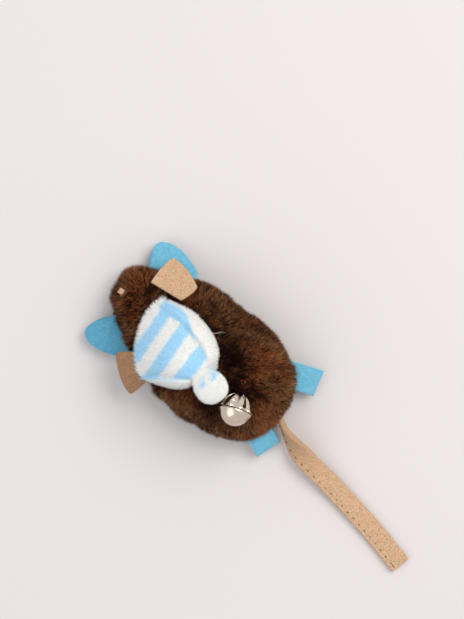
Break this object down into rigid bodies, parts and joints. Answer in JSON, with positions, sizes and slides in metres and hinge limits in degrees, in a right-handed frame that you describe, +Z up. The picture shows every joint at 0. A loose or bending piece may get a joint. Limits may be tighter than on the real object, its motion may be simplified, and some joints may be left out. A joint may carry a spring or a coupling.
{
  "type": "mouse cat toy",
  "caption": "Stuffed fur mouse for a cat, with suede ears and folded tail, felt paws, a striped cap with a pom-pom and a jingle bell on its back.",
  "frame": {"origin": "on the surface that the flat belly rests on, under the middle of the body", "axes": "+Y towards the tail, -Y towards the nose, +X to the mouse's left, +Z up from the belly"},
  "size_m": [0.053, 0.1455, 0.0395],
  "materials": {
    "fur_cloth": "long soft pile",
    "polyester_fibre": "loose fibre",
    "dried_catnip": "dry leaf",
    "suede": "napped",
    "blue_felt": "matte felt",
    "striped_plush": "short pile, blue and white stripes",
    "white_plush": "short pile",
    "white_thread": "spun thread",
    "nickel_plate": "bright nickel plate"
  },
  "bodies": {
    "mouse_body": {"back_panel": "fur_cloth", "belly_panel": "fur_cloth", "stuffing_upper": "polyester_fibre", "stuffing_lower": "polyester_fibre", "catnip_fill": "dried_catnip", "nose": "suede", "hat_crown": "striped_plush", "hat_thread_end": "white_thread", "bell_thread": "white_thread"},
    "ear_left": {"ear_left": "suede"},
    "ear_right": {"ear_right": "suede"},
    "front_paw_left": {"front_paw_left": "blue_felt"},
    "front_paw_right": {"front_paw_right": "blue_felt"},
    "hind_foot_left": {"hind_foot_left": "blue_felt"},
    "hind_foot_right": {"hind_foot_right": "blue_felt"},
    "tail_root": {"tail_root": "suede"},
    "tail_blade": {"tail_blade": "suede"},
    "hat_tip": {"hat_tip": "striped_plush"},
    "pompom": {"pompom": "white_plush", "pompom_filling": "polyester_fibre", "hat_tie": "white_thread"},
    "bell": {"bell_bowl": "nickel_plate", "bell_petals": "nickel_plate", "bell_eye": "nickel_plate"},
    "pellet": {"bell_pellet": "nickel_plate"}
  },
  "joints": [
    {"name": "ear_left_fold", "type": "hinge", "parent": "mouse_body", "child": "ear_left", "pos_m": [0.01485, -0.01503, 0.01873], "axis": [-0.5462, -0.7947, 0.2649], "range_deg": [-8, 14], "stiffness_Nm_per_rad": 0.0004},
    {"name": "ear_right_fold", "type": "hinge", "parent": "mouse_body", "child": "ear_right", "pos_m": [-0.01095, -0.02438, 0.02125], "axis": [-0.1048, 0.892, 0.4398], "range_deg": [0, 60], "stiffness_Nm_per_rad": 0.0004},
    {"name": "front_paw_left_flap", "type": "hinge", "parent": "mouse_body", "child": "front_paw_left", "pos_m": [0.011, -0.02824, 0.007], "axis": [-0.5367, -0.8438, 0], "range_deg": [-12, 35], "stiffness_Nm_per_rad": 0.0004},
    {"name": "front_paw_right_flap", "type": "hinge", "parent": "mouse_body", "child": "front_paw_right", "pos_m": [-0.01764, -0.02698, 0.007], "axis": [-0.4201, 0.9075, 0], "range_deg": [-12, 35], "stiffness_Nm_per_rad": 0.0004},
    {"name": "hind_foot_left_flap", "type": "hinge", "parent": "mouse_body", "child": "hind_foot_left", "pos_m": [0.00962, 0.03371, 0.007], "axis": [0.9223, -0.3866, 0], "range_deg": [-12, 34], "stiffness_Nm_per_rad": 0.0004},
    {"name": "hind_foot_right_flap", "type": "hinge", "parent": "mouse_body", "child": "hind_foot_right", "pos_m": [-0.01483, 0.03045, 0.007], "axis": [0.7046, 0.7096, 0], "range_deg": [-12, 34], "stiffness_Nm_per_rad": 0.0004},
    {"name": "tail_swing", "type": "hinge", "parent": "mouse_body", "child": "tail_root", "pos_m": [0.001, 0.03625, 0.007], "axis": [0, 0, 1], "range_deg": [-4, 45]},
    {"name": "tail_lift", "type": "hinge", "parent": "tail_root", "child": "tail_blade", "pos_m": [0.00602, 0.04908, 0.00806], "axis": [0.9631, -0.2692, 0], "range_deg": [0, 70]},
    {"name": "hat_flop", "type": "hinge", "parent": "mouse_body", "child": "hat_tip", "pos_m": [0.00226, -0.00364, 0.03562], "axis": [1, 0, 0], "range_deg": [0, 30]},
    {"name": "pompom_wobble", "type": "hinge", "parent": "hat_tip", "child": "pompom", "pos_m": [0.00381, 0.00206, 0.03209], "axis": [0, 0, 1], "range_deg": [-12, 12], "stiffness_Nm_per_rad": 0.0004},
    {"name": "bell_lift", "type": "hinge", "parent": "mouse_body", "child": "bell", "pos_m": [-0.00055, 0.01758, 0.02743], "axis": [0.3256, -0.9455, 0], "range_deg": [0, 22]},
    {"name": "pellet_rattle", "type": "slide", "parent": "bell", "child": "pellet", "axis": [0, 0, 1], "range_m": [0, 0.00517]}
  ]
}
